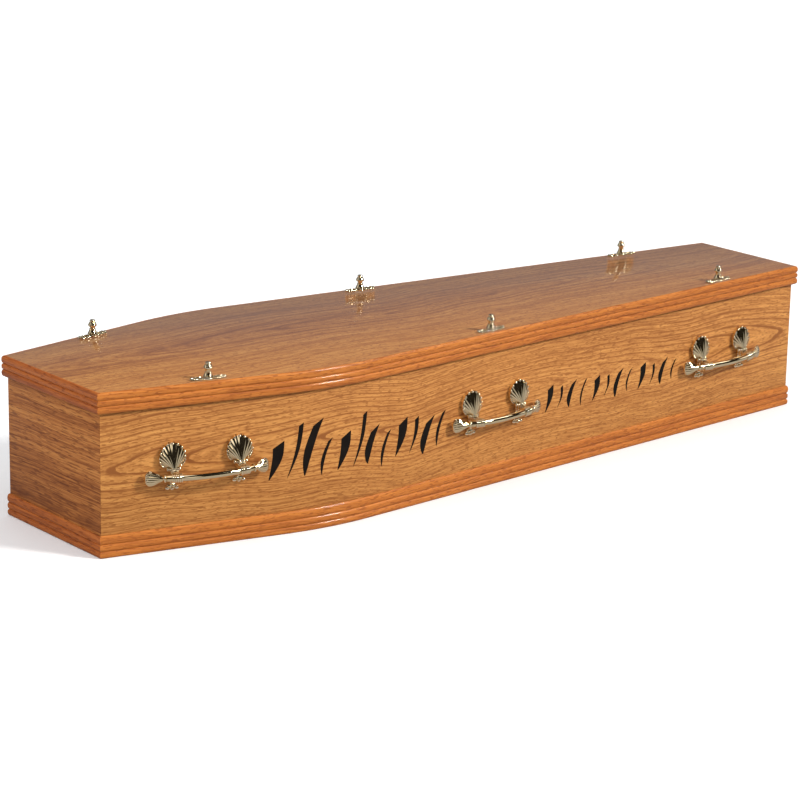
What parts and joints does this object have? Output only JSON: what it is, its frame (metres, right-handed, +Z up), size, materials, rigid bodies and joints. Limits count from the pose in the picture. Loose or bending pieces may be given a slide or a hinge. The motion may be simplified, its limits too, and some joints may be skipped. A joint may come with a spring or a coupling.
{
  "type": "wooden coffin",
  "caption": "Tapered wooden coffin with bent shoulders, lift-off lid, reeded edge mouldings, bowed bar handles on shell brackets and turned lid screws; hollow and empty.",
  "frame": {"origin": "on the floor under the middle of the coffin, at the middle of its length and width", "axes": "+X along the length from the head end to the foot end, +Y to the far side, +Z up"},
  "size_m": [2, 0.5788, 0.3816],
  "materials": {
    "oak_board": "satin lacquered oak veneer",
    "oak_strip": "gloss lacquered oak",
    "brassed_metal": "polished pale brass plate"
  },
  "bodies": {
    "root": {"base_board": "oak_board", "near_side_board": "oak_board", "far_side_board": "oak_board", "head_board": "oak_board", "foot_board": "oak_board", "lid_board": "oak_board", "near_base_strip": "oak_strip", "far_base_strip": "oak_strip", "head_base_strip": "oak_strip", "foot_base_strip": "oak_strip", "near_lid_strip": "oak_strip", "far_lid_strip": "oak_strip", "head_lid_strip": "oak_strip", "foot_lid_strip": "oak_strip", "near_head_handle_bar": "brassed_metal", "near_head_handle_left_bracket": "brassed_metal", "near_head_handle_right_bracket": "brassed_metal", "near_middle_handle_bar": "brassed_metal", "near_middle_handle_left_bracket": "brassed_metal", "near_middle_handle_right_bracket": "brassed_metal", "near_foot_handle_bar": "brassed_metal", "near_foot_handle_left_bracket": "brassed_metal", "near_foot_handle_right_bracket": "brassed_metal", "far_head_handle_bar": "brassed_metal", "far_head_handle_left_bracket": "brassed_metal", "far_head_handle_right_bracket": "brassed_metal", "far_middle_handle_bar": "brassed_metal", "far_middle_handle_left_bracket": "brassed_metal", "far_middle_handle_right_bracket": "brassed_metal", "far_foot_handle_bar": "brassed_metal", "far_foot_handle_left_bracket": "brassed_metal", "far_foot_handle_right_bracket": "brassed_metal", "near_head_screw_plate": "brassed_metal", "near_head_screw_thumbscrew": "brassed_metal", "near_middle_screw_plate": "brassed_metal", "near_middle_screw_thumbscrew": "brassed_metal", "near_foot_screw_plate": "brassed_metal", "near_foot_screw_thumbscrew": "brassed_metal", "far_head_screw_plate": "brassed_metal", "far_head_screw_thumbscrew": "brassed_metal", "far_middle_screw_plate": "brassed_metal", "far_middle_screw_thumbscrew": "brassed_metal", "far_foot_screw_plate": "brassed_metal", "far_foot_screw_thumbscrew": "brassed_metal"}
  },
  "joints": []
}
